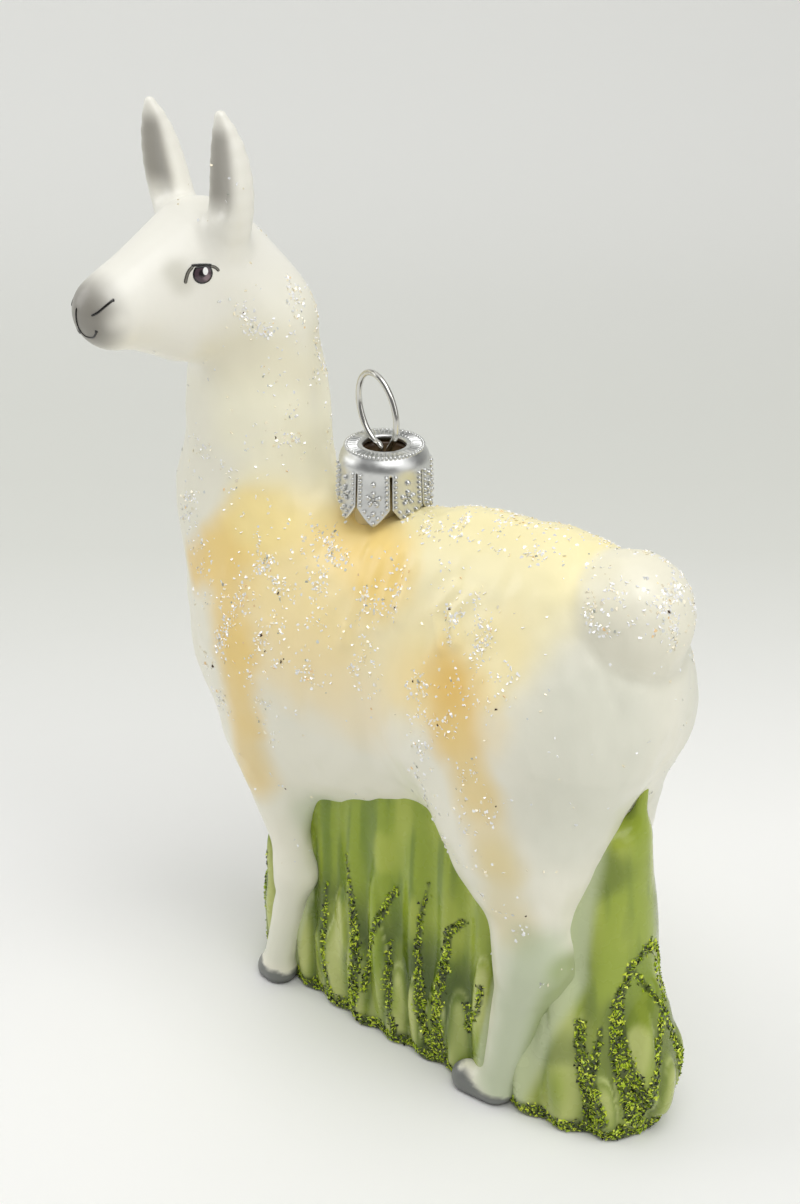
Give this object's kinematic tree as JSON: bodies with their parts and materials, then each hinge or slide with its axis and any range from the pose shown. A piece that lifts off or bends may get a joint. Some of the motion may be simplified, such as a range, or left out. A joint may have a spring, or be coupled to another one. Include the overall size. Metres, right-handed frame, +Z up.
{
  "type": "glass llama ornament",
  "caption": "Blown-glass Christmas ornament: a white llama standing in green grass, looking to its left, with a silver crown cap and a wire hanging loop on its back",
  "frame": {"origin": "on the flat underside of the grass, straight below the axis of the hanging cap", "axes": "+Z up along the cap's axis; the llama's body faces -Y; +X is the llama's left side, towards which its head is turned"},
  "size_m": [0.0419, 0.0884, 0.1324],
  "materials": {
    "glass_white": "blown glass, hand painted ivory white with airbrushed yellow, peach, green and grey, partly clear glitter",
    "glass_green": "the same glass painted glossy olive and lime green, with lines of green glitter",
    "hoof_grey": "grey paint on glass",
    "eye_dark": "glossy dark brown paint with a white highlight",
    "glass_bare": "rim of the blown glass, silvered inside, under the cap",
    "cap_silver": "thin stamped tin with a bright silver finish",
    "wire_steel": "bright spring wire"
  },
  "bodies": {
    "figure": {"trunk": "glass_white", "neck": "glass_white", "head": "glass_white", "ear_left": "glass_white", "ear_right": "glass_white", "tail": "glass_white", "leg_front_left": "glass_white", "leg_front_right": "glass_white", "leg_hind_left": "glass_white", "leg_hind_right": "glass_white", "hoof_front_left": "hoof_grey", "hoof_front_right": "hoof_grey", "hoof_hind_left": "hoof_grey", "hoof_hind_right": "hoof_grey", "eye_left": "eye_dark", "eye_right": "eye_dark", "grass": "glass_green", "glass_neck": "glass_bare"},
    "cap": {"cap": "cap_silver", "hanger": "wire_steel"}
  },
  "joints": [
    {"name": "cap_pull", "type": "slide", "parent": "figure", "child": "cap", "axis": [0, 0, 1], "range_m": [0, 0.012]}
  ]
}
